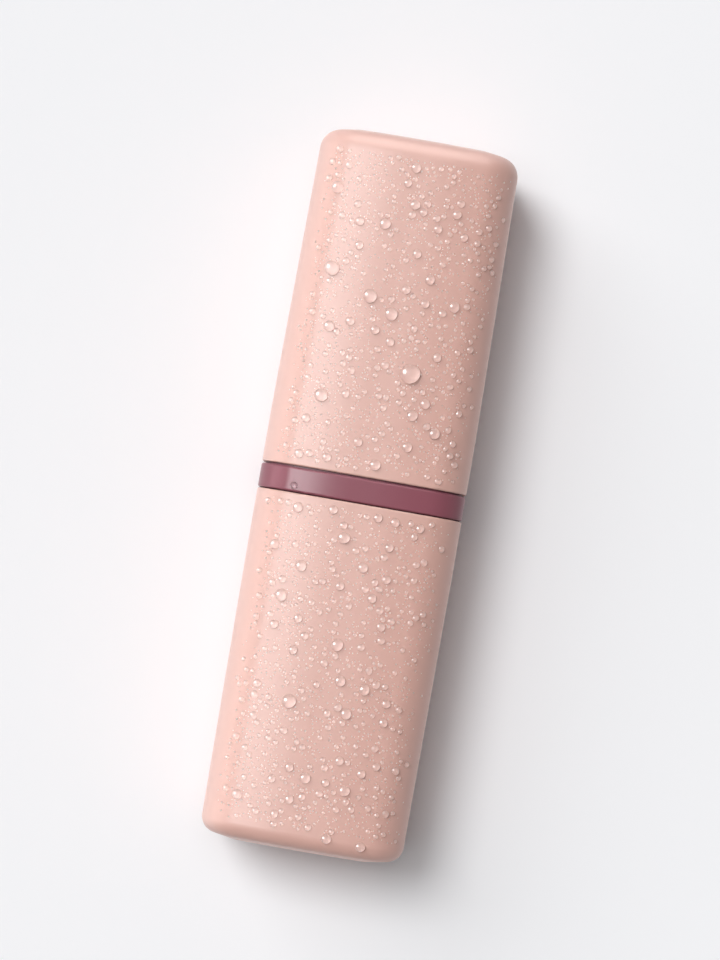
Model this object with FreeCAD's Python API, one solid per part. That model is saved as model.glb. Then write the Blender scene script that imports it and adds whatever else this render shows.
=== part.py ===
"""Toothbrush travel case: a rinsing cup and a lower case, joined by a sealed collar.

The case lies on its broad face. X runs across it, Y along it towards the cup's closed end, and Z up from
the surface that it lies on. The origin is under the middle of the case. Lengths are in mm, angles in degrees.
"""

import FreeCAD, Part

import math
import os

Vector = FreeCAD.Vector

# Outside of the case
cup_length = 97.65              # rim to closed end
cup_reveal = 0.5                # shadow line between the cup's rim and the band
band_height = 6.9
case_reveal = 0.25              # shadow line between the band and the lower case's rim
lower_length = 99.7             # rim to closed end
case_width = 59.15              # across the rims
case_depth = 46.0               # between the broad faces

# Section: flat strips, shallow shoulders and tighter corners, all tangent
corner_radius = 12.0
face_shoulder_radius = 82.0
face_shoulder_turn = 11.0
side_shoulder_radius = 60.0
side_shoulder_turn = 5.0

# Moulded shells: straight at the rim, then the narrow sides draw in. The broad faces run parallel,
# so that the case lies flat
shell_wall = 1.8
shell_end_wall = 2.4
socket_depth = 16.0             # straight stretch at the rim, where a spigot fits
cup_taper = 0.9                 # by which each narrow side of the cup draws in towards its closed end
case_taper = 0.4                # the same on the lower case
cap_height = 10.0               # straight stretch at the closed end
cup_end_round = 5.5             # corner between the walls and the end's shoulder
case_end_round = 4.4            # the same on the lower case
end_shoulder_turn = 11.0        # slope of the shoulder that crowns the end
end_shoulder_share = 0.95       # of the section's corner radius, over which the shoulder reaches in
end_soft_round = 14.0           # between the shoulder and the flat standing face
floor_round = 4.5               # inside
standing_rim = 2.5              # flat round the recess in the standing face
foot_recess_depth = 0.7
foot_recess_round = 4.0
rim_round = 0.5
mouth_bevel = 0.3

# Collar: the band, with a neck and a spigot for each shell and a ledge for the rack
spigot_wall = 1.7
cup_clearance = 0.25            # between the upper spigot and the cup, which slides off it
seat_clearance = 0.15           # between the lower spigot and the lower case, which stay together
cup_spigot_length = 14.0        # above the band
seat_spigot_length = 12.0       # below the band
spigot_tip_round = 0.6
band_round = 0.6
neck_inset = 1.1                # of the neck that closes the shadow lines between the band and the rims
neck_clearance = 0.1            # between the upper neck and the cup's rim
ledge_width = 1.7
ledge_height = 2.2

# Seals: soft rings in grooves near the spigots' tips
seal_groove_width = 2.6
seal_groove_depth = 0.9
seal_setback = 2.8              # from a spigot's tip to its groove
seal_proud = 0.1                # out of the spigot
seal_slack = 0.05               # between a seal and its groove
seal_round = 0.45

# Snap beads: one on each broad face of the lower spigot, held by a pocket in the lower case
bead_length = 16.0
bead_radius = 1.2
bead_proud = 0.45               # out of the spigot
bead_setback = 3.2              # below the band
bead_slack = 0.12               # between a bead and its pocket

# Rack: a plate with a toothpaste window and two brush windows, and leaves that part the bays below it
rack_plate = 2.0
rack_clearance = 0.3            # between the plate and the collar's bore
rack_edge_round = 0.5
rack_border = 3.2               # from the plate's edge to a window
window_round = 5.0
leaf_wall = 1.4
leaf_length = 42.0
leaf_clearance = 0.5            # between the leaves and the collar's ledge
leaf_tip_round = 6.0
leaf_land = 1.6                 # of plate on each side of a leaf
brush_bay_share = 0.42          # of the case's width, up to the leaf between brushes and toothpaste

# Shared by all cuts
overrun = 1.0
tolerance = 0.01

# Stations along the case
case_length = lower_length + case_reveal + band_height + cup_reveal + cup_length
case_rim_station = lower_length - case_length / 2
seam_station = case_rim_station + case_reveal
band_top_station = seam_station + band_height
cup_rim_station = band_top_station + cup_reveal
ledge_top_station = seam_station + ledge_height

# Tips of the spigots, from the rims of the shells that they fit
cup_tip = cup_spigot_length - cup_reveal
seat_tip = seat_spigot_length - case_reveal

# Sections, by how far they lie inside the outer one
cup_spigot_inset = shell_wall + cup_clearance
seat_spigot_inset = shell_wall + seat_clearance
bore_inset = cup_spigot_inset + spigot_wall
ledge_inset = bore_inset + ledge_width
plate_inset = bore_inset + rack_clearance

# Shoulder of a closed end: its soft round takes up the last of its reach
soft_reach = end_soft_round * math.tan(math.radians(end_shoulder_turn) / 2)
shoulder_width = corner_radius * end_shoulder_share - soft_reach

mid_height = case_depth / 2
along = Vector(0, 1, 0)


def quarter_arcs(half_width, inset):
    """Arcs of a quarter section, from the narrow side to the broad face: start, middle and end of each.

    The arcs keep their centres at every inset, so a wall between two sections is of one thickness.
    """
    side_turn = math.radians(side_shoulder_turn)
    face_start = math.radians(90 - face_shoulder_turn)
    side_reach = side_shoulder_radius - corner_radius
    face_reach = face_shoulder_radius - corner_radius
    side_x = half_width - side_shoulder_radius
    face_z = case_depth / 2 - face_shoulder_radius
    corner_x = side_x + side_reach * math.cos(side_turn)
    corner_z = face_z + face_reach * math.sin(face_start)
    side_z = corner_z - side_reach * math.sin(side_turn)
    face_x = corner_x - face_reach * math.cos(face_start)
    turns = [
        (side_x, side_z, side_shoulder_radius, 0, side_turn),
        (corner_x, corner_z, corner_radius, side_turn, face_start),
        (face_x, face_z, face_shoulder_radius, face_start, math.radians(90)),
    ]
    arcs = []
    for centre_x, centre_z, radius, first, last in turns:
        reach = radius - inset
        angles = (first, (first + last) / 2, last)
        arcs.append([(centre_x + reach * math.cos(a), centre_z + reach * math.sin(a)) for a in angles])
    return arcs


def section_wire(station, half_width, inset):
    """Closed outline of the section at a station along the case."""
    arcs = quarter_arcs(half_width, inset)
    backward = [arc[::-1] for arc in reversed(arcs)]
    quarters = []
    for side, up in ((1, 1), (-1, 1), (-1, -1), (1, -1)):
        turns = arcs if side == up else backward
        quarters.append([[Vector(side * x, station, mid_height + up * z) for x, z in arc] for arc in turns])
    edges = []
    for quarter, following in zip(quarters, quarters[1:] + quarters[:1]):
        for start, middle, end in quarter:
            edges.append(Part.Arc(start, middle, end).toShape())
        edges.append(Part.LineSegment(end, following[0][0]).toShape())
    return Part.Wire(edges)


def straight_solid(start, stop, inset, drawn_in=0):
    """Solid between two stations, with one section all along."""
    face = Part.Face(section_wire(start, case_width / 2 - drawn_in, inset))
    return face.extrude(along * (stop - start))


def sloped_solid(start, stop, insets, drawn_in):
    """Solid between two stations whose section changes evenly, in its inset or in how far the sides draw in."""
    first = section_wire(start, case_width / 2 - drawn_in[0], insets[0])
    last = section_wire(stop, case_width / 2 - drawn_in[1], insets[1])
    return Part.makeLoft([first, last], True, True)


def upright_block(low_x, high_x, low_z, high_z, start, stop, radius):
    """Block along the case between two stations, with its four long edges rounded."""
    corner = Vector(low_x, start, mid_height + low_z)
    block = Part.makeBox(high_x - low_x, stop - start, high_z - low_z, corner)
    long_edges = [e for e in block.Edges if abs(e.tangentAt(e.FirstParameter).dot(along)) > tolerance]
    return block.makeFillet(radius, long_edges)


def edges_at(shape, station):
    """Edges that lie wholly at one station."""
    return [e for e in shape.Edges if all(abs(v.Point.y - station) < tolerance for v in e.Vertexes)]


def on_cup(shape):
    """Place a shape that was made with a shell's rim at zero on the cup's rim, facing up the case."""
    return shape.translated(along * cup_rim_station)


def on_case(shape):
    """Place a shape that was made with a shell's rim at zero on the lower case's rim, facing down the case."""
    return shape.rotated(Vector(), Vector(0, 0, 1), 180).translated(along * case_rim_station)


def outer_form(length, taper, end_round):
    """Outside of a shell, with its rim at zero and a rounded, crowned end at the given length."""
    cap_start = length - cap_height
    shoulder_start = length - shoulder_width * math.tan(math.radians(end_shoulder_turn))
    cap = straight_solid(cap_start, shoulder_start, 0, taper)
    crown = sloped_solid(shoulder_start, length, (0, shoulder_width), (taper, taper))
    cap = cap.fuse(crown)
    cap = cap.makeFillet(end_round, edges_at(cap, shoulder_start))
    cap = cap.makeFillet(end_soft_round, edges_at(cap, length))
    socket = straight_solid(0, socket_depth, 0)
    socket = socket.makeFillet(rim_round, edges_at(socket, 0))
    return socket.fuse([sloped_solid(socket_depth, cap_start, (0, 0), (0, taper)), cap])


def inner_form(length, taper):
    """Hollow of a shell of the given length, running out past its rim."""
    cap_start = length - cap_height
    floor = length - shell_end_wall
    cap = straight_solid(cap_start, floor, shell_wall, taper)
    cap = cap.makeFillet(floor_round, edges_at(cap, floor))
    socket = straight_solid(-overrun, socket_depth, shell_wall)
    middle = sloped_solid(socket_depth, cap_start, (shell_wall, shell_wall), (0, taper))
    bevel = sloped_solid(0, mouth_bevel, (shell_wall - mouth_bevel, shell_wall), (0, 0))
    return socket.fuse([middle, cap, bevel])


def foot_recess(length, taper):
    """Shallow recess in the closed end, so that the shell stands on a flat rim round it."""
    inset = shoulder_width + soft_reach + standing_rim
    half_x = case_width / 2 - taper - inset
    half_z = case_depth / 2 - inset
    start = length - foot_recess_depth
    return upright_block(-half_x, half_x, -half_z, half_z, start, length + overrun, foot_recess_round)


def closed_shell(length, taper, end_round):
    outside = outer_form(length, taper, end_round)
    return outside.cut(inner_form(length, taper)).cut(foot_recess(length, taper))


def upper_cup():
    return on_cup(closed_shell(cup_length, cup_taper, cup_end_round))


def snap_beads(grown):
    """Half-round beads across both broad faces of the lower spigot, all round larger by a given amount."""
    length = bead_length + 2 * grown
    height = case_depth / 2 - seat_spigot_inset + bead_proud - bead_radius
    station = seam_station - bead_setback
    beads = []
    for up in (-1, 1):
        start = Vector(-length / 2, station, mid_height + up * height)
        beads.append(Part.makeCylinder(bead_radius + grown, length, start, Vector(1, 0, 0)))
    return beads


def lower_case():
    case = on_case(closed_shell(lower_length, case_taper, case_end_round))
    return case.cut(Part.Compound(snap_beads(bead_slack)))


def spigot(start, tip, inset):
    body = straight_solid(start, tip, inset)
    return body.makeFillet(spigot_tip_round, edges_at(body, tip))


def seal_ring(tip, spigot_inset, slack, proud):
    """Outside and inside of the ring that lies in the groove of a spigot which ends at the tip."""
    start = tip - seal_setback - seal_groove_width + slack
    stop = tip - seal_setback - slack
    outside = straight_solid(start, stop, spigot_inset - proud)
    inside = straight_solid(start, stop, spigot_inset + seal_groove_depth - slack)
    return outside, inside


def groove(tip, spigot_inset):
    outside, inside = seal_ring(tip, spigot_inset, 0, overrun)
    return outside.cut(inside)


def seal(tip, spigot_inset):
    """Soft ring with a rounded outer lip."""
    outside, inside = seal_ring(tip, spigot_inset, seal_slack, seal_proud)
    lip_edges = edges_at(outside, tip - seal_setback - seal_slack)
    lip_edges += edges_at(outside, tip - seal_setback - seal_groove_width + seal_slack)
    return outside.makeFillet(seal_round, lip_edges).cut(inside)


def collar_ring():
    band = straight_solid(seam_station, band_top_station, 0)
    band = band.makeFillet(band_round, edges_at(band, seam_station) + edges_at(band, band_top_station))
    neck = straight_solid(case_rim_station, cup_rim_station - neck_clearance, neck_inset)
    sunk = band_height / 2
    upper = on_cup(spigot(-cup_reveal - sunk, cup_tip, cup_spigot_inset))
    lower = on_case(spigot(-case_reveal - sunk, seat_tip, seat_spigot_inset))
    body = band.fuse([neck, upper, lower] + snap_beads(0))

    upper_end = cup_rim_station + cup_tip + overrun
    lower_end = seam_station - seat_tip - overrun
    body = body.cut(straight_solid(ledge_top_station, upper_end, bore_inset))
    body = body.cut(straight_solid(lower_end, seam_station, bore_inset))
    body = body.cut(straight_solid(lower_end, upper_end, ledge_inset))
    body = body.cut(on_cup(groove(cup_tip, cup_spigot_inset)))
    return body.cut(on_case(groove(seat_tip, seat_spigot_inset))).removeSplitter()


def cup_seal():
    return on_cup(seal(cup_tip, cup_spigot_inset))


def case_seal():
    return on_case(seal(seat_tip, seat_spigot_inset))


def leaf(low, high, across, rounded_ends):
    """Thin wall below the rack's plate, from low to high along its width, with rounded free corners.

    With one rounded end, it is the low one.
    """
    start = ledge_top_station - leaf_length
    size = Vector(leaf_wall, leaf_length, leaf_wall) + across * (high - low - leaf_wall)
    corner = Vector(-leaf_wall / 2, start, mid_height - leaf_wall / 2) + across * (low + leaf_wall / 2)
    wall = Part.makeBox(size.x, size.y, size.z, corner)
    ends = [e for e in edges_at(wall, start) if abs(e.tangentAt(e.FirstParameter).dot(across)) < tolerance]
    ends.sort(key=lambda e: e.CenterOfMass.dot(across))
    return wall.makeFillet(leaf_tip_round, ends[:rounded_ends])


def brush_rack():
    plate_top = ledge_top_station + rack_plate
    plate = straight_solid(ledge_top_station, plate_top, plate_inset)
    plate = plate.makeFillet(rack_edge_round, edges_at(plate, plate_top))
    half_x = case_width / 2 - plate_inset - rack_border
    half_z = case_depth / 2 - plate_inset - rack_border
    leaf_x = case_width * brush_bay_share - case_width / 2
    beside_leaf = leaf_wall / 2 + leaf_land

    below = ledge_top_station - overrun
    above = plate_top + overrun
    paste = upright_block(leaf_x + beside_leaf, half_x, -half_z, half_z, below, above, window_round)
    windows = [paste]
    for low_z, high_z in ((-half_z, -beside_leaf), (beside_leaf, half_z)):
        windows.append(upright_block(-half_x, leaf_x - beside_leaf, low_z, high_z, below, above, window_round))
    plate = plate.cut(windows)

    reach_x = case_width / 2 - ledge_inset - leaf_clearance
    reach_z = case_depth / 2 - ledge_inset - leaf_clearance
    main_leaf = leaf(-reach_z, reach_z, Vector(0, 0, 1), 2).translated(Vector(leaf_x, 0, 0))
    cross_leaf = leaf(-reach_x, leaf_x, Vector(1, 0, 0), 1)
    return plate.fuse([main_leaf, cross_leaf]).removeSplitter()


pieces = {
    "upper_cup": upper_cup,
    "lower_case": lower_case,
    "collar_ring": collar_ring,
    "cup_seal": cup_seal,
    "case_seal": case_seal,
    "brush_rack": brush_rack,
}

os.makedirs("parts", exist_ok=True)
for name, build in pieces.items():
    shape = build()
    shape.exportStep(f"parts/{name}.step")
    print(f"{name}: solids {len(shape.Solids)}, valid {shape.isValid()}, volume {shape.Volume:.1f} mm3")
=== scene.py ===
# %% [markdown]
# # A travel case for toothbrushes, beaded with water
# The case is two drafted shells of pale pink plastic that push onto a plum collar. The upper shell pulls off
# and serves as a rinsing cup. The solids come from the CAD model, so this lesson gives them their finishes,
# lays them on a white studio floor and wets them. Everything is in metres, in the frame of the CAD model:
# X across the case, Y along it towards the cup's closed end, Z up.

import math

import bpy
import numpy as np
from mathutils import Matrix, Vector
from mathutils.bvhtree import BVHTree


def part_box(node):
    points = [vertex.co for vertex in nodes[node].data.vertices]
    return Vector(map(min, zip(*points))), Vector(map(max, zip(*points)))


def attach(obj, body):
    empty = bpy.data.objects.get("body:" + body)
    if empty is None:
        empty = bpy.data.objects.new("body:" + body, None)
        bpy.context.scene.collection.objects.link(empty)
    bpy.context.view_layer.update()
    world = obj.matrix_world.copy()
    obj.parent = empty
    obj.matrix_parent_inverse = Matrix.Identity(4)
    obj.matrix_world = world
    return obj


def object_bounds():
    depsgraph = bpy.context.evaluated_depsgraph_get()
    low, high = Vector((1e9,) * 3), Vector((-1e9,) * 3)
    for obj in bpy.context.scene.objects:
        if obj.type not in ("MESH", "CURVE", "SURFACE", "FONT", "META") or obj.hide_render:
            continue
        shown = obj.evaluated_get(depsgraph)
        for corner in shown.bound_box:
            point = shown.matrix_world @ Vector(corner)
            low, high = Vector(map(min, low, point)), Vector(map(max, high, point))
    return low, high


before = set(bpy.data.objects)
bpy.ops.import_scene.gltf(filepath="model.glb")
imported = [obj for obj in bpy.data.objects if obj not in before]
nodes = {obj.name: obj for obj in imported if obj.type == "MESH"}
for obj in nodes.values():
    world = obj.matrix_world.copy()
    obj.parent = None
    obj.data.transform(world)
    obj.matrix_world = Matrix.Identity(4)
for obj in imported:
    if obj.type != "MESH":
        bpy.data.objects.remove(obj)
cad_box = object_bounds()

mm = 0.001
scene = bpy.context.scene
cad_low, cad_high = cad_box
cad_size = cad_high - cad_low
print("nodes:", ", ".join(sorted(nodes)))
print("case, mm:", [round(side / mm, 1) for side in cad_size])

# %% [markdown]
# ## Camera
# The case was photographed from almost straight above, with a long lens and its foot a little nearer to the
# camera. A camera could be aimed with a Track To constraint, but here its three axes are worked out, because
# the picture is also turned: the case leans to the right in it. Roll turns the picture and tilt leans the
# camera towards the foot of the case. No shift is needed.

# %% Camera
camera_lens = 120.0
camera_distance = 920.9 * mm
camera_tilt = math.radians(1.2)
camera_roll = math.radians(9.86)
camera_aim = Vector((-1.10, 4.33, 23.0)) * mm

world_up = Vector((0, 0, 1))
picture_right = Vector((math.cos(camera_roll), math.sin(camera_roll), 0))
picture_up = Vector((-math.sin(camera_roll), math.cos(camera_roll), 0))
camera_back = world_up * math.cos(camera_tilt) - picture_up * math.sin(camera_tilt)
camera_top = camera_back.cross(picture_right)

camera_data = bpy.data.cameras.new("studio_camera")
camera_data.lens = camera_lens
camera = bpy.data.objects.new("studio_camera", camera_data)
camera.location = camera_aim + camera_back * camera_distance
camera.rotation_euler = Matrix((picture_right, camera_top, camera_back)).transposed().to_euler()
scene.collection.objects.link(camera)
scene.camera = camera
scene.view_settings.view_transform = "Standard"
print("camera, mm:", [round(c / mm) for c in camera.location])

# %% [markdown]
# ## Floor
# The case lies on a seamless sheet of white paper. A sheet that curves up behind the case could be built, as
# in a studio, but seen from above a plane is enough, wide enough to fill the picture. Its white is in its
# colour and not in the light, so that the shadow of the case stays.

# %% Floor
floor_half = 3.0
floor_white = (0.952, 0.957, 0.978, 1.0)

floor_corners = [(-floor_half, -floor_half, 0), (floor_half, -floor_half, 0)]
floor_corners += [(floor_half, floor_half, 0), (-floor_half, floor_half, 0)]
floor_mesh = bpy.data.meshes.new("studio_floor")
floor_mesh.from_pydata(floor_corners, [], [(0, 1, 2, 3)])
floor = bpy.data.objects.new("studio_floor", floor_mesh)
scene.collection.objects.link(floor)


def shader_of(material):
    """Principled shader of a material."""
    return material.node_tree.nodes["Principled BSDF"]


floor_paper = bpy.data.materials.new("floor_paper")
floor_paper.use_nodes = True
floor_shader = shader_of(floor_paper)
floor_shader.inputs["Base Color"].default_value = floor_white
floor_shader.inputs["Roughness"].default_value = 1.0
floor_shader.inputs["Specular IOR Level"].default_value = 0.0
floor_mesh.materials.append(floor_paper)
print("floor", 2 * floor_half, "m wide")

# %% [markdown]
# ## World
# The world is a weak white light from all around, which fills the shadows. A picture of a studio could be
# wrapped round the scene instead, but the lamps below draw every reflection that the case needs. To the
# camera, and in reflections and refractions, the world is plain white, so that the horizon doesn't show as
# grey. The Light Path node tells these rays apart. A ray that has met a matt surface finds the fill alone.

# %% World
fill_strength = 0.10
half_a_bounce = 0.5                  # tells no diffuse bounce from one or more


def calculated(tree, operation, *values):
    """Output of a Math node. Each value is the output of another node or a plain number."""
    node = tree.nodes.new("ShaderNodeMath")
    node.operation = operation
    for socket, value in zip(node.inputs, values):
        if isinstance(value, bpy.types.NodeSocket):
            tree.links.new(value, socket)
        else:
            socket.default_value = value
    return node.outputs[0]


world = bpy.data.worlds.new("studio_world")
world.use_nodes = True
scene.world = world
world_tree = world.node_tree
backdrop = world_tree.nodes["Background"]
backdrop.inputs["Color"].default_value = (1, 1, 1, 1)
light_path = world_tree.nodes.new("ShaderNodeLightPath").outputs
seen = calculated(world_tree, "MAXIMUM", light_path["Is Camera Ray"], light_path["Is Glossy Ray"])
seen = calculated(world_tree, "MAXIMUM", seen, light_path["Is Transmission Ray"])
unbounced = calculated(world_tree, "LESS_THAN", light_path["Diffuse Depth"], half_a_bounce)
seen = calculated(world_tree, "MULTIPLY", seen, unbounced)
strength = world_tree.nodes.new("ShaderNodeMapRange")
strength.inputs["To Min"].default_value = fill_strength
strength.inputs["To Max"].default_value = 1.0
world_tree.links.new(seen, strength.inputs["Value"])
world_tree.links.new(strength.outputs["Result"], backdrop.inputs["Strength"])
print("fill", fill_strength, "of the white that the camera sees")

# %% [markdown]
# ## Softboxes
# A large softbox hangs over the case, towards the top left of the picture. An area lamp could stand there,
# but over a white floor it falls off and leaves one side grey. Sun lamps with a wide angle light evenly and
# still cast soft shadows: a wide one for the softbox, a narrower one for its bright core and a low one for
# the light that reaches the left side. What a lamp lights and how it mirrors can be set apart with its ray
# visibility. These three don't show in reflections.

# %% Softboxes
softbox_heading = 46


def level_towards(heading):
    """Level direction that is a number of degrees above picture left."""
    heading = math.radians(heading)
    return -picture_right * math.cos(heading) + picture_up * math.sin(heading)


def soft_sun(name, polar, heading, angle, energy):
    """Sun lamp that stands a number of degrees from straight up and is as wide as its angle."""
    polar = math.radians(polar)
    towards = level_towards(heading) * math.sin(polar) + world_up * math.cos(polar)
    lamp = bpy.data.lights.new(name, "SUN")
    lamp.angle = math.radians(angle)
    lamp.energy = energy
    lamp_object = bpy.data.objects.new(name, lamp)
    lamp_object.rotation_euler = towards.to_track_quat("Z", "Y").to_euler()
    scene.collection.objects.link(lamp_object)
    print(name, "with an energy of", energy)
    return lamp_object


for softbox in (
    soft_sun("overhead_softbox", polar=12, heading=softbox_heading, angle=40, energy=1.08),
    soft_sun("key_softbox", polar=27, heading=softbox_heading, angle=24, energy=1.20),
    soft_sun("low_softbox", polar=56, heading=softbox_heading, angle=40, energy=0.86),
):
    softbox.visible_glossy = False

# %% [markdown]
# ## Reflectors
# The real case mirrors the softbox as a long sheen down its left shoulder and another along the cup's end.
# White cards beside it give pale edges low down, and each larger bead of water has a spark. Glowing planes
# could stand there, but they would light the floor too. These are lamps that show in reflections and light
# nothing else. The light that a sheen throws back onto the floor is a caustic. It is switched off, because it
# would bleach the paper beside the case.

# %% Reflectors
def reflector(name, polar, heading, angle, energy):
    """Lamp that shows in reflections and lights nothing else."""
    lamp_object = soft_sun(name, polar, heading, angle, energy)
    lamp_object.visible_diffuse = False
    lamp_object.visible_transmission = False
    return lamp_object


sheens = [
    reflector("left_sheen", polar=25, heading=20, angle=24, energy=4.4),
    reflector("side_sheen", polar=80, heading=10, angle=60, energy=4.2),
    reflector("top_sheen", polar=62, heading=92, angle=56, energy=5.4),
]
cards = [
    reflector("left_card", polar=140, heading=10, angle=80, energy=13.0),
    reflector("top_card", polar=140, heading=95, angle=80, energy=6.5),
    reflector("right_card", polar=140, heading=190, angle=80, energy=1.8),
]
spark_lamp = reflector("spark_lamp", polar=66, heading=22, angle=30, energy=9.5)
scene.cycles.caustics_reflective = False

# %% [markdown]
# ## Grain of the moulds
# Every moulded piece has the fine matt grain that its steel mould was etched with, and very slight
# differences in tone from the flow of the plastic. An image of a grain could be wrapped round the pieces, but
# noise in object space needs no unwrapping and looks the same on every side. It is a node group, because all
# the plastics share it. Its inputs are what differs from plastic to plastic. Its outputs are a colour, a
# roughness and a height for a Bump node.

# %% Sockets of the grain
grain = bpy.data.node_groups.new("mould_grain", "ShaderNodeTree")
for name, kind, preset in (
    ("Color", "NodeSocketColor", (0.8, 0.8, 0.8, 1)),
    ("Flow Color", "NodeSocketColor", (0.7, 0.7, 0.7, 1)),
    ("Grain Size", "NodeSocketFloat", 0.2),
    ("Roughness Low", "NodeSocketFloat", 0.4),
    ("Roughness High", "NodeSocketFloat", 0.5),
):
    socket = grain.interface.new_socket(name=name, in_out="INPUT", socket_type=kind)
    socket.default_value = preset
for name, kind in (
    ("Color", "NodeSocketColor"),
    ("Roughness", "NodeSocketFloat"),
    ("Height", "NodeSocketFloat"),
):
    grain.interface.new_socket(name=name, in_out="OUTPUT", socket_type=kind)
print("group", grain.name, "with", len(grain.interface.items_tree), "sockets")

# %% [markdown]
# ## Noise in the grain
# Two noises are enough. A slow one drifts between two tones, as the plastic did when it flowed into the
# mould, and a fine one is the etched grain. A Voronoi texture could draw the grain too, but its cells look
# like leather. The fine noise drives roughness and height together, because both come from the same pits.

# %% Noise in the grain
flow_size = 38.0 * mm
flow_detail = 3.0
fine_detail = 2.0

grain_in = grain.nodes.new("NodeGroupInput")
grain_out = grain.nodes.new("NodeGroupOutput")
grain_place = grain.nodes.new("ShaderNodeTexCoord")


def grain_noise(detail):
    """Noise node in object space, with a number of octaves of detail."""
    noise = grain.nodes.new("ShaderNodeTexNoise")
    noise.inputs["Detail"].default_value = detail
    grain.links.new(grain_place.outputs["Object"], noise.inputs["Vector"])
    return noise


flow = grain_noise(flow_detail)
flow.inputs["Scale"].default_value = 1.0 / flow_size
fine = grain_noise(fine_detail)
per_metre = calculated(grain, "DIVIDE", 1.0 / mm, grain_in.outputs["Grain Size"])
grain.links.new(per_metre, fine.inputs["Scale"])

tone = grain.nodes.new("ShaderNodeMix")
tone.data_type = "RGBA"
tone_first, tone_second = [socket for socket in tone.inputs if socket.type == "RGBA"]
tone_out = [socket for socket in tone.outputs if socket.type == "RGBA"][0]
sheen_range = grain.nodes.new("ShaderNodeMapRange")
for source, target in (
    (flow.outputs["Fac"], tone.inputs["Factor"]),
    (grain_in.outputs["Color"], tone_first),
    (grain_in.outputs["Flow Color"], tone_second),
    (fine.outputs["Fac"], sheen_range.inputs["Value"]),
    (grain_in.outputs["Roughness Low"], sheen_range.inputs["To Min"]),
    (grain_in.outputs["Roughness High"], sheen_range.inputs["To Max"]),
    (tone_out, grain_out.inputs["Color"]),
    (sheen_range.outputs["Result"], grain_out.inputs["Roughness"]),
    (fine.outputs["Fac"], grain_out.inputs["Height"]),
):
    grain.links.new(source, target)
print("group", grain.name, "with", len(grain.nodes), "nodes")

# %% [markdown]
# ## Shells
# Both halves are moulded from the same pale pink plastic with a matt grain. A flat colour would do from afar,
# but the grain is what makes the sheen soft. One helper places the grain group in a material with its own
# values, for this plastic and the next ones. The numbers that are the same all over a piece, such as how
# strongly it reflects, sit on the shader.

# %% Shells
usual_reflection = 0.5


def moulded_plastic(name, color, flow_color, grain_size, roughness, bump_depth, reflection=usual_reflection):
    """Material of a moulded plastic, with its grain size and bump depth in mm."""
    plastic = bpy.data.materials.new(name)
    plastic.use_nodes = True
    tree = plastic.node_tree
    shader = shader_of(plastic)
    shader.inputs["Specular IOR Level"].default_value = reflection
    group = tree.nodes.new("ShaderNodeGroup")
    group.node_tree = grain
    group.inputs["Color"].default_value = (*color, 1)
    group.inputs["Flow Color"].default_value = (*flow_color, 1)
    group.inputs["Grain Size"].default_value = grain_size
    group.inputs["Roughness Low"].default_value = roughness[0]
    group.inputs["Roughness High"].default_value = roughness[1]
    bump = tree.nodes.new("ShaderNodeBump")
    bump.inputs["Strength"].default_value = 1.0
    bump.inputs["Distance"].default_value = bump_depth * mm
    tree.links.new(group.outputs["Color"], shader.inputs["Base Color"])
    tree.links.new(group.outputs["Roughness"], shader.inputs["Roughness"])
    tree.links.new(group.outputs["Height"], bump.inputs["Height"])
    tree.links.new(bump.outputs["Normal"], shader.inputs["Normal"])
    return plastic


def finish_nodes(material, *names):
    """Give CAD nodes a material in place of the one that they came with."""
    for name in names:
        nodes[name].data.materials.clear()
        nodes[name].data.materials.append(material)
    print(material.name, "on", ", ".join(names))


pink = moulded_plastic(
    "shell_pink", color=(0.712, 0.426, 0.364), flow_color=(0.696, 0.411, 0.350),
    grain_size=0.25, roughness=(0.38, 0.48), bump_depth=0.006, reflection=0.35)
finish_nodes(pink, "upper_cup", "lower_case")

# %% [markdown]
# ## Collar
# The collar is a plum plastic, smoother than the shells. In the narrow lines above and below its band hardly
# any light arrives, and a glint there would look wrong. The lines could be painted as a mask, but an Ambient
# Occlusion node with a short reach finds them by itself. In them it paints shade into the plum's colour, and
# makes it duller.

# %% Collar
# reach of the shade that is painted into the seams
painted_shade_reach = 0.5 * mm


def paint_crevice_shade(material, reach):
    """Paint shade into a material's colour, and make it duller, where another surface is within reach."""
    tree, shader = material.node_tree, shader_of(material)
    tone_from = shader.inputs["Base Color"].links[0].from_socket
    gloss_from = shader.inputs["Roughness"].links[0].from_socket
    # painted shade: the Ambient Occlusion node darkens the base colour where another surface is near
    painted_shade = tree.nodes.new("ShaderNodeAmbientOcclusion")
    painted_shade.inputs["Distance"].default_value = reach
    tree.links.new(tone_from, painted_shade.inputs["Color"])
    tree.links.new(painted_shade.outputs["Color"], shader.inputs["Base Color"])
    hidden = calculated(tree, "SUBTRACT", 1.0, painted_shade.outputs["AO"])
    tree.links.new(calculated(tree, "MAXIMUM", gloss_from, hidden), shader.inputs["Roughness"])


plum = moulded_plastic(
    "collar_plum", color=(0.290, 0.092, 0.121), flow_color=(0.270, 0.082, 0.109),
    grain_size=0.35, roughness=(0.25, 0.33), bump_depth=0.003, reflection=0.16)
paint_crevice_shade(plum, painted_shade_reach)
finish_nodes(plum, "collar_ring")

# %% [markdown]
# ## Rack
# The brush rack is an off-white plastic that stays out of sight until the cup is off. It could share the
# pink, but it is moulded apart from the shells, so it has its own tone.

# %% Rack
chalk = moulded_plastic(
    "rack_chalk", color=(0.83, 0.80, 0.77), flow_color=(0.80, 0.77, 0.74),
    grain_size=0.40, roughness=(0.36, 0.48), bump_depth=0.006)
finish_nodes(chalk, "brush_rack")

# %% [markdown]
# ## Silicone
# The two seals are rings of milky silicone in grooves of the collar. Glass with a rough skin could stand for
# it, but light goes only a little way into silicone, so the same grain gets some subsurface scattering, which
# is set on the shader itself.

# %% Silicone
milkiness = 0.5
glow_depth = 0.8 * mm
glow_shares = (1.0, 0.9, 0.85)       # of that depth, for red, green and blue light

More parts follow.
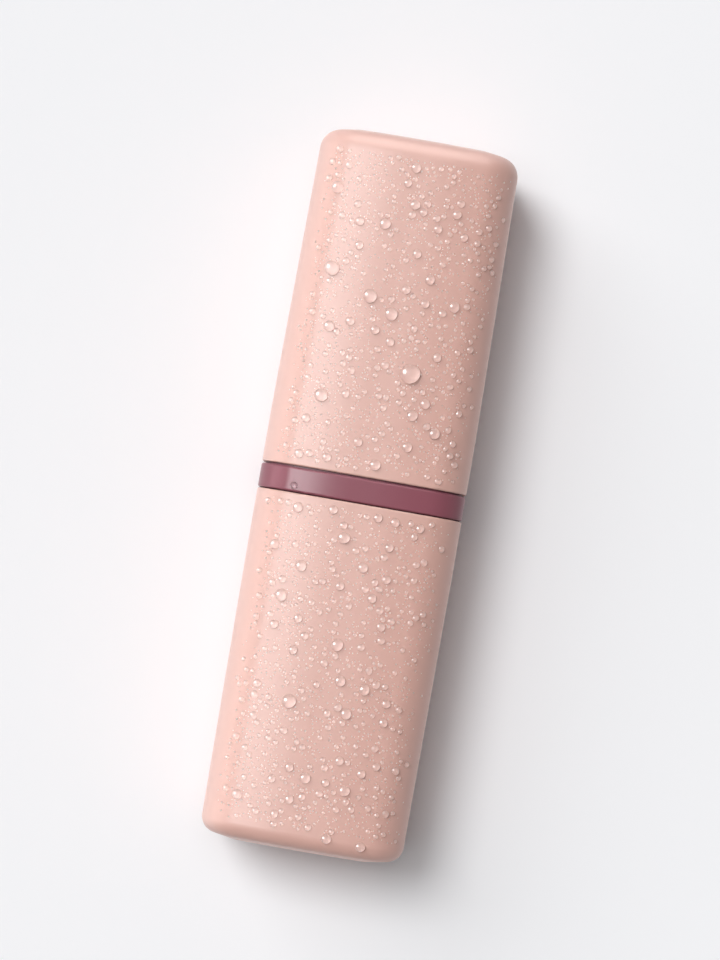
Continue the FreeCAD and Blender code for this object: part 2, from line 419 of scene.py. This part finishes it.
silicone = moulded_plastic(
    "seal_silicone", color=(0.78, 0.76, 0.75), flow_color=(0.74, 0.72, 0.71),
    grain_size=0.30, roughness=(0.45, 0.60), bump_depth=0.008)
silicone_shader = shader_of(silicone)
silicone_shader.inputs["Subsurface Weight"].default_value = milkiness
silicone_shader.inputs["Subsurface Radius"].default_value = glow_shares
silicone_shader.inputs["Subsurface Scale"].default_value = glow_depth
finish_nodes(silicone, "cup_seal", "case_seal")

# %% [markdown]
# ## Where the water lies
# Beads of water lie on the upper side of both shells, and one small bead on the band. To sit on the plastic,
# each needs the surface under it: a bounding-volume tree of a piece's triangles answers where a ray from
# above meets it, and which way the surface faces there. A Shrinkwrap modifier could find the surface too, but
# it would press the whole bead flat onto it.

# %% Where the water lies
cast_height = 100 * mm
shells = {"cup": "upper_cup", "case": "lower_case"}
wet_nodes = {**shells, "band": "collar_ring"}


def surface_of(node):
    """Tree of a node's faces, for rays."""
    mesh = nodes[node].data
    corners = [v.co.copy() for v in mesh.vertices]
    faces = [tuple(p.vertices) for p in mesh.polygons]
    return BVHTree.FromPolygons(corners, faces)


surfaces = {wet: surface_of(node) for wet, node in wet_nodes.items()}


def ground(wet, x, y):
    """Point and normal of a piece's upper side, straight below a place in mm."""
    point, normal, _, _ = surfaces[wet].ray_cast(Vector((x * mm, y * mm, cast_height)), -world_up)
    return point, normal


for wet, node in shells.items():
    middle = (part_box(node)[0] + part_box(node)[1]) / 2
    point, normal = ground(wet, middle.x / mm, middle.y / mm)
    print(wet, "top at", round(point.z / mm, 2), "mm, facing", [round(c, 2) for c in normal])

# %% [markdown]
# ## One bead
# On this plastic water draws itself up into a dome, a little flattened by its weight. How steeply the dome
# meets the plastic is its contact angle: a little over a right angle for the large beads, and less for the
# small ones, which the grain holds flatter. A bead isn't quite round, because the grain pins its edge. A UV
# sphere could be cut off and scaled, but it wouldn't follow the shell. Here rings of points run from the top
# down to where the water meets the plastic, each set out from the surface below it, so a large bead follows
# the curve of the shoulder. A skirt goes on into the plastic and a base closes it there: light that has
# entered the water then meets the plastic, with no film of air between.

# %% One bead
large_contact = 100                  # degrees between the plastic and the water's skin, inside the water
tallness = 0.9                       # 1 is a part of a sphere, and less is flatter
skirt_depth = 0.06 * mm
probe_lift = 1.5 * mm
small_rings = 3                      # beads with no more rings than this sit on a flat spot
corner_share = 0.6                   # of the three-cornered part of a wobble, beside the oval part


def bead_profile(share, contact):
    """Reach and height of a bead's skin, in radii, at a share of the way down from its top."""
    edge = math.radians(contact)
    widest = math.sin(min(edge, math.pi / 2))
    reach = math.sin(share * edge)
    height = tallness * (math.cos(share * edge) - math.cos(edge))
    return reach / widest, height / widest


def bead(water, wet, x, y, diameter, contact, wobble, rings, segments):
    """Add a bead to lists of points and faces. The wobble is two phases and a size of its outline."""
    point, normal = ground(wet, x, y)
    if point is None:
        return None
    points, faces = water
    radius = diameter * mm / 2
    side = Vector((0, 1, 0)).cross(normal).normalized()
    along = normal.cross(side)
    first = len(points)
    points.append(point + normal * bead_profile(0, contact)[1] * radius)
    for ring in range(1, rings + 2):
        reach_share, height_share = bead_profile(min(ring, rings) / rings, contact)
        height = height_share * radius if ring <= rings else -skirt_depth
        for step in range(segments):
            angle = 2 * math.pi * step / segments
            bulge = math.cos(2 * angle + wobble[0]) + corner_share * math.cos(3 * angle + wobble[1])
            reach = reach_share * radius * (1 + wobble[2] * bulge)
            place = point + (side * math.cos(angle) + along * math.sin(angle)) * reach
            if rings > small_rings:
                below, _, _, _ = surfaces[wet].ray_cast(place + normal * probe_lift, -normal)
                place = below or place
            points.append(place + normal * height)
    for step in range(segments):
        after = (step + 1) % segments
        faces.append((first, first + 1 + step, first + 1 + after))
        for ring in range(rings):
            low = first + 1 + ring * segments
            faces.append((low + step, low + segments + step, low + segments + after, low + after))
    last = first + 1 + rings * segments
    faces.append(tuple(last + step for step in reversed(range(segments))))
    return point


print("a large bead is", round(bead_profile(0, large_contact)[1], 2), "radii tall")

# %% [markdown]
# ## Large beads
# The eye goes to the large beads, so these were read in the photograph: across, down and width, in its
# pixels. They could be scattered at random as the rest are, but then none would match. The camera above sees
# the case as the photograph's did. So a ray from it through a pixel meets the shell where the bead lies, and
# the span of a pixel at that distance gives the diameter. The band carries a single small one.

# %% Large beads
cup_readings = [
    (416, 168, 10), (408, 183, 8), (338, 187, 12), (415, 205, 10), (457, 215, 9), (438, 229, 9),
    (385, 224, 11), (464, 238, 8), (360, 221, 9), (417, 254, 9), (359, 245, 9), (430, 280, 10),
    (332, 268, 15), (406, 290, 9), (454, 307, 11), (425, 304, 9), (370, 296, 14), (391, 314, 13),
    (350, 321, 9), (375, 330, 9), (329, 326, 11), (390, 342, 9), (437, 358, 9), (410, 374, 20),
    (425, 404, 10), (321, 395, 13), (412, 416, 11), (434, 434, 11), (306, 418, 9), (407, 447, 10),
    (358, 442, 9), (309, 453, 8), (375, 465, 11), (327, 457, 9), (299, 453, 9),
]
case_readings = [
    (333, 510, 9), (378, 518, 9), (395, 523, 9), (298, 507, 10), (420, 529, 9), (344, 538, 12),
    (389, 548, 9), (275, 544, 10), (363, 568, 10), (386, 580, 9), (301, 566, 11), (340, 586, 9),
    (372, 599, 9), (281, 595, 12), (381, 627, 9), (298, 618, 9), (274, 624, 9), (337, 645, 12),
    (293, 650, 9), (324, 663, 8), (340, 681, 11), (364, 690, 11), (386, 704, 9), (257, 683, 8),
    (289, 701, 14), (346, 714, 11), (383, 723, 9), (339, 761, 9), (376, 767, 8), (361, 774, 9),
    (289, 767, 9), (305, 778, 11), (325, 783, 8), (344, 791, 11), (289, 799, 9), (237, 794, 10),
    (326, 839, 10), (360, 847, 10),
]
band_readings = [(294, 485.4, 6.7)]
picture_width = 720
picture_height = 960
slope_pixels = picture_height * camera_lens / camera_data.sensor_width    # off the middle at 45 degrees
outline_lift = 0.1 * mm              # height above the plastic at which an outline is taken to lie
reading_digits = 1                   # after the point in mm, which is finer than an eye reads
large_wobble = 0.025
large_rings = 10
large_segments = 32
water_seed = 24
luck = np.random.default_rng(water_seed)
taken = []                           # across, along and radius of every bead so far, in mm


def wobble_of(size):
    """Wobble of a given size with two random phases."""
    return (*luck.uniform(0, 2 * math.pi, 2), size)


def bead_read_at(wet, across, down, width):
    """Place and diameter in mm of a bead that was read in the photograph."""
    ray = picture_right * (across - picture_width / 2) + camera_top * (picture_height / 2 - down)
    ray = ray / slope_pixels - camera_back
    point, _, _, _ = surfaces[wet].ray_cast(camera.location, ray.normalized())
    pixel_span = (camera.location - point).dot(camera_back) / slope_pixels
    place = point + ray * (outline_lift / ray.z)
    return [round(length / mm, reading_digits) for length in (place.x, place.y, width * pixel_span)]


water_large = {body: ([], []) for body in shells}
water_small = {body: ([], []) for body in shells}
for water, wet, readings in (
    (water_large["cup"], "cup", cup_readings),
    (water_large["case"], "case", case_readings),
    (water_small["case"], "band", band_readings),
):
    for reading in readings:
        x, y, diameter = bead_read_at(wet, *reading)
        wobble = wobble_of(large_wobble)
        bead(water, wet, x, y, diameter, large_contact, wobble, large_rings, large_segments)
        taken.append((x, y, diameter / 2))
print("large beads:", len(taken))

# %% [markdown]
# ## Scattered beads and mist
# Between the large beads lie smaller ones of every size, down to a mist that only shows as sparkle. Geometry
# Nodes could scatter them, but each has to keep clear of all the others, which a short loop does more
# plainly. Their places are drawn from seeded random numbers, so that they are the same each time. A bead that
# would run into another is left out, because they would have merged. Mist is thicker on the left shoulder.
# All the water thins out towards the sides, and stops short of the ends and the rims.

# %% Scattered beads and mist
scatter_classes = (
    # tries, smallest and largest diameter, contact angle, wobble, rings, segments
    (380, 1.4, 2.3, 92, 0.06, 6, 24),
    (750, 0.8, 1.5, 80, 0.05, 5, 16),
    (3400, 0.32, 0.8, 55, 0.04, 3, 12),
)
across_range = (-25.5, 27.0)
end_margin = 7.0
rim_margin = 2.0
bead_gap = 0.12                      # mm that stays dry between two beads
mist_strip = (-22.0, -9.0)
mist_limit = 1.0                     # mm, a class with no larger beads is mist
usual_share = 0.65                   # of the drawn beads that stay, outside the strip of mist
dry_side = 28.0                      # mm from the middle of the case, where no bead stays
drying_width = 6.0
size_power = 2.2

for body in shells:
    low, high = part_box(shells[body])
    start, stop = low.y / mm, high.y / mm
    start += end_margin if body == "case" else rim_margin
    stop -= end_margin if body == "cup" else rim_margin
    for tries, smallest, largest, contact, uneven, rings, segments in scatter_classes:
        made = 0
        water = (water_large if rings > small_rings else water_small)[body]
        for _ in range(tries):
            x = luck.uniform(*across_range)
            y = luck.uniform(start, stop)
            diameter = smallest + (largest - smallest) * luck.uniform() ** size_power
            keep = luck.uniform()
            wobble = wobble_of(uneven)
            in_strip = mist_strip[0] < x < mist_strip[1]
            share = 1.0 if in_strip and largest < mist_limit else usual_share
            share *= min(1, (dry_side - abs(x)) / drying_width)
            if keep > share:
                continue
            spots = np.array(taken)
            apart = np.hypot(spots[:, 0] - x, spots[:, 1] - y) - spots[:, 2] - diameter / 2
            if apart.min() < bead_gap:
                continue
            if bead(water, body, x, y, diameter, contact, wobble, rings, segments):
                taken.append((x, y, diameter / 2))
                made += 1
        print(body, "beads of", smallest, "to", largest, "mm:", made)

# %% [markdown]
# ## Light through a bead
# To the lamps' light, real beads are small lenses. Cycles could trace that as caustics, but it takes a great
# many rays. Here the light goes straight through instead, which a Transparent shader does. Under a bead it is
# a little weaker on the lamps' side and stronger on the far side, where the bead has gathered it. Beyond the
# bead it is gone, or about half gone behind the finest mist, and so each bead draws a thin shadow along its
# lower right edge. On its way to a lamp, a ray from under the bead meets the water's skin from inside, and a
# ray from beyond the bead meets it from outside. Backfacing tells the two apart.

# %% Light through a bead
near_light = 0.90                    # share of the lamps' light that reaches the plastic on the lamps' side
gathered_light = 1.35                # and on the far side
near_lean = -0.5                     # lean of the water's skin, seen from inside, that has the first share
far_lean = 0.7                       # and the second


def straight_light(tree, far_light):
    """Transparent shader's output, with the share of light that is left beyond a bead."""
    shape = tree.nodes.new("ShaderNodeNewGeometry")
    lean = tree.nodes.new("ShaderNodeVectorMath")
    lean.operation = "DOT_PRODUCT"
    lean.inputs[1].default_value = level_towards(softbox_heading)
    under = tree.nodes.new("ShaderNodeMapRange")
    under.inputs["From Min"].default_value = near_lean
    under.inputs["From Max"].default_value = far_lean
    under.inputs["To Min"].default_value = near_light
    under.inputs["To Max"].default_value = gathered_light
    passing = tree.nodes.new("ShaderNodeMix")
    passing.inputs["A"].default_value = far_light
    straight = tree.nodes.new("ShaderNodeBsdfTransparent")
    tree.links.new(shape.outputs["Normal"], lean.inputs[0])
    tree.links.new(lean.outputs["Value"], under.inputs["Value"])
    tree.links.new(shape.outputs["Backfacing"], passing.inputs["Factor"])
    tree.links.new(under.outputs["Result"], passing.inputs["B"])
    tree.links.new(passing.outputs["Result"], straight.inputs["Color"])
    return straight.outputs[0]


print("light under a bead:", near_light, "to", gathered_light)

# %% [markdown]
# ## Water
# Water is clear and bends light, so its shader is the Principled one with full transmission and the index of
# water. A Glass shader could do it, but it has no coat. Here a coat does the mirroring, a little more
# strongly than plain water would. Coat and water are slightly rough, which softens the sparks. Shadow and
# diffuse rays go straight through. A faint ripple in the Bump node keeps the sparks from looking stamped.

# %% Water
water_index = 1.333
coat_index = 1.5
film_roughness = 0.28
ripple_size = 0.7 * mm
ripple_depth = 0.004 * mm


def add_ripple(tree, shader):
    """Give a shader's surface a faint unevenness."""
    place = tree.nodes.new("ShaderNodeTexCoord")
    ripple = tree.nodes.new("ShaderNodeTexNoise")
    ripple.inputs["Scale"].default_value = 1.0 / ripple_size
    bump = tree.nodes.new("ShaderNodeBump")
    bump.inputs["Distance"].default_value = ripple_depth
    tree.links.new(place.outputs["Object"], ripple.inputs["Vector"])
    tree.links.new(ripple.outputs["Fac"], bump.inputs["Height"])
    tree.links.new(bump.outputs["Normal"], shader.inputs["Normal"])


def clear_water(name, far_light):
    """Material of water, with the share of light that is left beyond a bead."""
    water = bpy.data.materials.new(name)
    water.use_nodes = True
    tree, shader = water.node_tree, shader_of(water)
    shader.inputs["Base Color"].default_value = (1, 1, 1, 1)
    shader.inputs["Roughness"].default_value = film_roughness
    shader.inputs["IOR"].default_value = water_index
    shader.inputs["Transmission Weight"].default_value = 1.0
    shader.inputs["Specular IOR Level"].default_value = 0.0
    shader.inputs["Coat Weight"].default_value = 1.0
    shader.inputs["Coat IOR"].default_value = coat_index
    shader.inputs["Coat Roughness"].default_value = film_roughness
    add_ripple(tree, shader)

    water_path = tree.nodes.new("ShaderNodeLightPath").outputs
    lit = calculated(tree, "MAXIMUM", water_path["Is Shadow Ray"], water_path["Is Diffuse Ray"])
    either_way = tree.nodes.new("ShaderNodeMixShader")
    tree.links.new(lit, either_way.inputs["Fac"])
    tree.links.new(shader.outputs[0], either_way.inputs[1])
    tree.links.new(straight_light(tree, far_light), either_way.inputs[2])
    tree.links.new(either_way.outputs[0], tree.nodes["Material Output"].inputs["Surface"])
    return water


bead_water = clear_water("bead_water", far_light=0.0)
mist_water = clear_water("mist_water", far_light=0.45)
print("waters:", bead_water.name, mist_water.name)

# %% [markdown]
# ## Pieces of water
# The beads of a shell could be one object each, but thousands of objects are slow to draw. So each shell has
# two: its beads and its mist. Both ride on the shell, so the cup takes its water along when it is pulled off.

# %% Pieces of water
def water_piece(name, body, parts, water):
    """Object of the beads in a list of points and faces, riding on a body."""
    mesh = bpy.data.meshes.new(name)
    mesh.from_pydata(parts[0], [], parts[1])
    mesh.polygons.foreach_set("use_smooth", [True] * len(mesh.polygons))
    mesh.materials.append(water)
    piece = bpy.data.objects.new(name, mesh)
    scene.collection.objects.link(piece)
    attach(piece, body)
    print(name, "faces:", len(mesh.polygons))
    return piece


bead_pieces = []
for body in shells:
    bead_pieces.append(water_piece(f"{body}_beads", body, water_large[body], bead_water))
    water_piece(f"{body}_mist", body, water_small[body], mist_water)

# %% [markdown]
# ## Sparks
# Each larger bead mirrors a lamp as one bright spark towards the upper left. A small lamp beside each bead
# could do it, but light linking is simpler: it gives one lamp to the larger beads alone, and the sheens and
# the cards to the plastic alone. The cards shine up from beside the case, from below the level of the floor,
# so the floor is also kept from blocking them.

# %% Sparks
def shine_on(lamps, objects, only_blockers=False):
    """Let lamps shine on some objects only, and maybe past everything else."""
    receivers = bpy.data.collections.new("lit_by_" + lamps[0].name)
    for obj in objects:
        receivers.objects.link(obj)
    for lamp in lamps:
        lamp.light_linking.receiver_collection = receivers
        if only_blockers:
            lamp.light_linking.blocker_collection = receivers
    print(", ".join(lamp.name for lamp in lamps), "on", len(objects), "objects")


plastic_pieces = list(nodes.values())
shine_on([spark_lamp], bead_pieces)
shine_on(sheens, plastic_pieces)
shine_on(cards, plastic_pieces, only_blockers=True)
